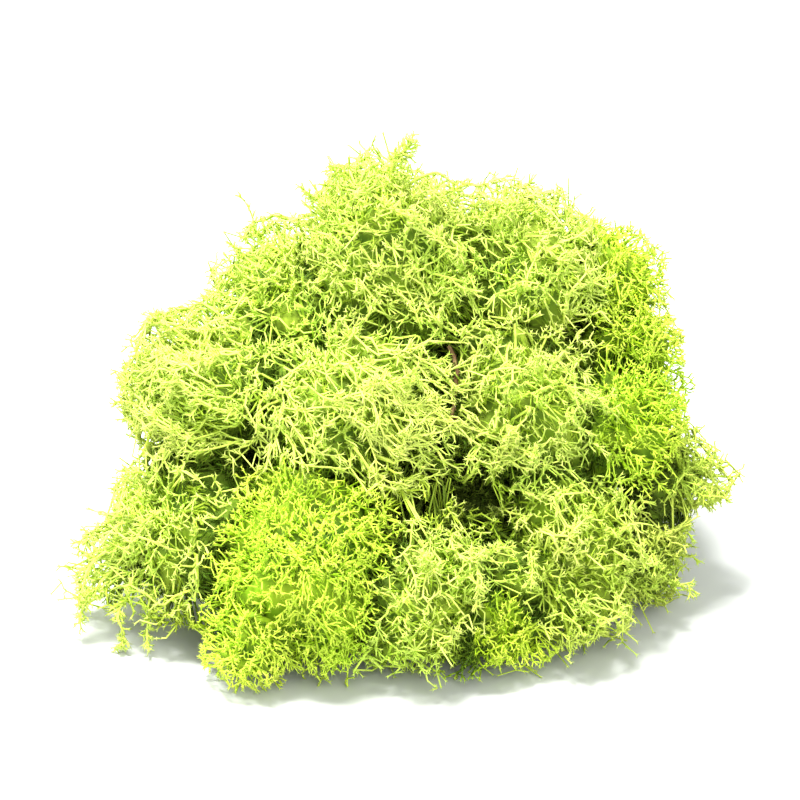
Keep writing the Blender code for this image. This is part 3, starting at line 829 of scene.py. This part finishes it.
def grow_stems(growth, habit, lean, tubes):
    """Adds long stems that run over the outside the way that the tuft is combed, with side twigs."""
    count = habit["stems"]
    if not count:
        return
    middle = growth.form.middle
    ways = unit(rng.normal(size=(count * 12, 3)))
    ways = ways[growth.kept(growth.spots(ways, np.zeros(len(ways)))) & (ways @ lean < 0.6)][:count]
    line = []
    heading = lean + 0.35 * rng.normal(size=ways.shape)
    deep = STEM_DEPTH + 1.5 * np.linspace(1, -0.6, STEM_STEPS) ** 2
    for step in range(STEM_STEPS):
        points = growth.spots(ways, np.full(len(ways), deep[step]))
        line.append(points)
        along = heading + 0.5 * BENDS(points)
        along = unit(along - ways * (along * ways).sum(1)[:, None])
        ways = unit(points + along * STEM_STEP - middle)
    line = np.stack([warped(points, habit["warp"]) for points in line], 1)
    clear = growth.kept(line[:, STEM_OWN])
    line = line[clear]
    if not len(line):
        return
    radii = np.tile(np.linspace(0.34, 0.22, STEM_STEPS), (len(line), 1))
    # Painted shade near the hollows darkens the stems
    shade = painted_hollow_shade(line[:, STEM_STEPS // 2])[:, None] / PALE_DEPTH
    tones = np.tile(np.linspace(0.66, 0.95, STEM_STEPS), (len(line), 1)) - shade
    tints = rng.uniform(0.6, 1.0, len(line))
    tubes.add(line, radii, tones, tints, star(len(line), 1.1, 0.9))
    ahead = unit(np.gradient(line, axis=1))
    outward = unit(line - middle)
    for step in range(2, STEM_STEPS):
        for sign in (-1, 1):
            side = sign * np.cross(ahead[:, step], outward[:, step])
            lift = rng.uniform(-0.3, 0.8, (len(line), 1)) * outward[:, step]
            way = unit(0.9 * ahead[:, step] + side + lift)
            length = STEM_TWIG * rng.uniform(0.6, 1.3, len(line))
            twigs(line[:, step], way, length, (0.2, 0.17), (0.7, 0.85), tints, tubes, 0)


def grow_spray(path, tubes, radius, twig, spacing):
    """Adds one long stem with a feathery sleeve of forked twigs, narrower to its end."""
    steps = np.linspace(0, len(path) - 1, 5 * (len(path) - 1) + 1)
    line = np.stack([np.interp(steps, np.arange(len(path)), path[:, i]) for i in range(3)], -1)
    for _ in range(4):
        line[1:-1] = (line[:-2] + 2 * line[1:-1] + line[2:]) / 4
    line = line + BENDS(line) * 0.6
    line[:, 2] = np.maximum(line[:, 2], 0.8)
    width = np.linspace(radius, 0.6 * radius, len(line))
    tubes.add(line[None], width[None], np.linspace(0.55, 0.85, len(line))[None], np.array([0.7]))
    ahead = unit(np.gradient(line, axis=0))
    length = np.linalg.norm(np.diff(line, axis=0), axis=1).sum()
    count = max(int(length / spacing), 3)
    at = (len(line) - 1) * rng.uniform(0.1, 1.0, count)
    points = np.stack([np.interp(at, np.arange(len(line)), line[:, i]) for i in range(3)], -1)
    ways = np.stack([np.interp(at, np.arange(len(line)), ahead[:, i]) for i in range(3)], -1)
    sides = unit(np.cross(ways, rng.normal(size=ways.shape)))
    ways = unit(ways * rng.uniform(0.5, 1.3, (count, 1)) + sides)
    long = twig * (1.0 - 0.65 * at / len(line)) * rng.uniform(0.5, 1.2, count)
    tints = rng.uniform(0.2, 0.8, count)
    twigs(points, ways, long, (0.25, 0.21, 0.18), (0.5, 0.7, 0.86), tints, tubes, 1)
    end = np.repeat(line[-1:], 2, 0)
    ways = unit(ahead[-1:] + rng.normal(size=(2, 3)) * 0.5)
    twigs(end, ways, np.full(2, 1.4), (0.24, 0.21, 0.18), (0.6, 0.75, 0.86), tints[:2], tubes, 1)


def grow_wisps(growth, lean, tubes):
    """Adds short sprays that stand out of the tuft here and there."""
    ways = unit(rng.normal(size=(WISPS * 12, 3)) + 0.6 * lean)
    ways = ways[growth.kept(growth.spots(ways, np.zeros(len(ways)))) & (ways[:, 2] > -0.2)][:WISPS]
    for way in ways:
        root = growth.spots(way[None], np.array([3.0]))[0]
        out = unit(way + 0.5 * lean + 0.4 * rng.normal(size=3))
        turn = unit(out + 0.6 * rng.normal(size=3))
        length = rng.uniform(*WISP_LENGTH)
        path = np.stack([root, root + out * length * 0.5, root + out * length * 0.7 + turn * length * 0.4])
        grow_spray(warped(path, 1.0), tubes, 0.36, 1.8, 0.7)


def grow_dead_stem(tubes):
    """Adds the dead stem: bent, tapered and rough, with a few short broken stubs."""
    line = dead_stem_line()
    ahead = unit(line[-1] - line[0])
    bow = unit(np.cross(ahead, [0.0, 1.0, 0.2]))
    share = np.linspace(0, 1, len(line))[:, None]
    line = line + bow * (1.1 * np.sin(math.pi * share * 1.5)) + KINKS(line) * 0.25
    radii = np.linspace(0.62, 0.34, len(line)) * rng.uniform(0.85, 1.15, len(line))
    tones = rng.uniform(0.2, 0.8, len(line))
    tubes.add(line[None], radii[None], tones[None], np.array([0.5]))
    tubes.add(line[None] + 0.18, radii[None] * 0.85, tones[None], np.array([0.3]))
    for at in DEAD_STUBS:
        way = unit(ahead + rng.normal(size=3))
        rings = np.stack([line[at], line[at] + way * rng.uniform(1.2, 2.2)])
        tubes.add(rings[None], np.array([[0.28, 0.14]]), np.array([[0.5, 0.7]]), np.array([0.6]))


def grow_tuft(name, tubes, forms):
    """Adds all that grows in a tuft to its tubes."""
    habit_name, _, lean, painted_shade = TUFTS[name]
    habit = HABITS[habit_name]
    growth = Growth(name, forms)
    lean = unit(np.array(lean, float))
    grow_branches(growth, habit, lean, painted_shade, tubes)
    tubes.add_heart(growth, habit)
    grow_mat(growth, habit, painted_shade, tubes)
    grow_stems(growth, habit, lean, tubes)
    if habit["stems"]:
        grow_wisps(growth, lean, tubes)
    for owner, path, *build in SPRAYS:
        if owner == name:
            grow_spray(np.array(path, float), tubes, *build)


def lichen_material(name):
    """Colours from the UV map: its U runs along the two ramps, and its V mixes them."""
    mat = bpy.data.materials.new(name)
    mat.use_nodes = True
    tree = mat.node_tree
    shader = tree.nodes["Principled BSDF"]
    uv = tree.nodes.new("ShaderNodeUVMap")
    uv.uv_map = "OFBake"
    split = tree.nodes.new("ShaderNodeSeparateXYZ")
    tree.links.new(uv.outputs["UV"], split.inputs["Vector"])
    ramps = []
    for colours in COLOURS[name]:
        ramp = tree.nodes.new("ShaderNodeValToRGB")
        ramp.color_ramp.elements[0].color = (*colours[0], 1)
        ramp.color_ramp.elements[1].color = (*colours[2], 1)
        middle = ramp.color_ramp.elements.new(RAMP_MIDDLE)
        middle.color = (*colours[1], 1)
        tree.links.new(split.outputs["X"], ramp.inputs["Fac"])
        ramps.append(ramp)
    mix = tree.nodes.new("ShaderNodeMix")
    mix.data_type = "RGBA"
    tree.links.new(split.outputs["Y"], mix.inputs["Factor"])
    tree.links.new(ramps[0].outputs["Color"], mix.inputs["A"])
    tree.links.new(ramps[1].outputs["Color"], mix.inputs["B"])
    tree.links.new(mix.outputs["Result"], shader.inputs["Base Color"])
    shader.inputs["Roughness"].default_value = 0.75
    shader.inputs["Specular IOR Level"].default_value = 0.25
    return mat


def plain_material(name, colour, roughness):
    """A material of one colour."""
    mat = bpy.data.materials.new(name)
    mat.use_nodes = True
    shader = mat.node_tree.nodes["Principled BSDF"]
    shader.inputs["Base Color"].default_value = (*colour, 1)
    shader.inputs["Roughness"].default_value = roughness
    return mat


def add_piece(node, ending, slot, tubes):
    """Makes the piece that is seen in place of a node's solid."""
    piece = bpy.data.objects.new(node + ending, tubes.mesh(node + ending, materials[slot]))
    bpy.context.scene.collection.objects.link(piece)
    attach(piece, "root")
    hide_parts(node)


def area_light(name, place, target, size, watts):
    """Adds a round light that faces its target."""
    data = bpy.data.lights.new(name, "AREA")
    data.shape = "DISK"
    data.size = size
    data.energy = watts
    lamp = bpy.data.objects.new(name, data)
    scene.collection.objects.link(lamp)
    lamp.location = place
    lamp.rotation_mode = "QUATERNION"
    lamp.rotation_quaternion = (Vector(target) - Vector(place)).to_track_quat("-Z", "Y")


def add_camera():
    """Adds the photograph's camera, turned to its aim and rolled as it was."""
    camera = bpy.data.objects.new("camera", bpy.data.cameras.new("camera"))
    scene.collection.objects.link(camera)
    ahead = CAMERA_AHEAD.normalized()
    over = Vector((1, 0, 0)).cross(ahead)
    roll = math.radians(CAMERA_ROLL)
    right = Vector((1, 0, 0)) * math.cos(roll) + over * math.sin(roll)
    turn = Matrix((right, right.cross(ahead), -ahead)).transposed()
    aim = (AIM - CAMERA).normalized()
    turn = ahead.rotation_difference(aim).to_matrix() @ turn
    camera.matrix_world = Matrix.Translation(CAMERA * MM) @ turn.to_4x4()
    camera.data.sensor_width = 36.0
    camera.data.lens = LENS
    camera.data.clip_start = 0.05
    camera.data.clip_end = 20.0
    scene.camera = camera


solids = solids_tree()
cleared = [(point, STEM_CLEAR) for point in dead_stem_line()[::2]]
materials = {name: lichen_material(name) for name in COLOURS}
forms = {name: Form(name) for name in TUFTS}
for name, (_, slot, _, _) in TUFTS.items():
    tubes = Tubes()
    grow_tuft(name, tubes, forms)
    add_piece(name, "_branches", slot, tubes)
tubes = Tubes()
grow_dead_stem(tubes)
add_piece("dead_stem", "_bark", "dead_stem", tubes)

# The floor and the light
bpy.ops.mesh.primitive_plane_add(size=6.0)
floor = bpy.context.object
floor.name = "floor"
floor.data.materials.append(plain_material("floor", FLOOR, 0.6))

scene = bpy.context.scene
world = bpy.data.worlds.new("studio")
world.use_nodes = True
world.node_tree.nodes["Background"].inputs["Color"].default_value = (*SKY, 1)
world.node_tree.nodes["Background"].inputs["Strength"].default_value = SKY_STRENGTH
scene.world = world
scene.view_settings.view_transform = "Standard"
for light in LIGHTS:
    area_light(*light)
add_camera()
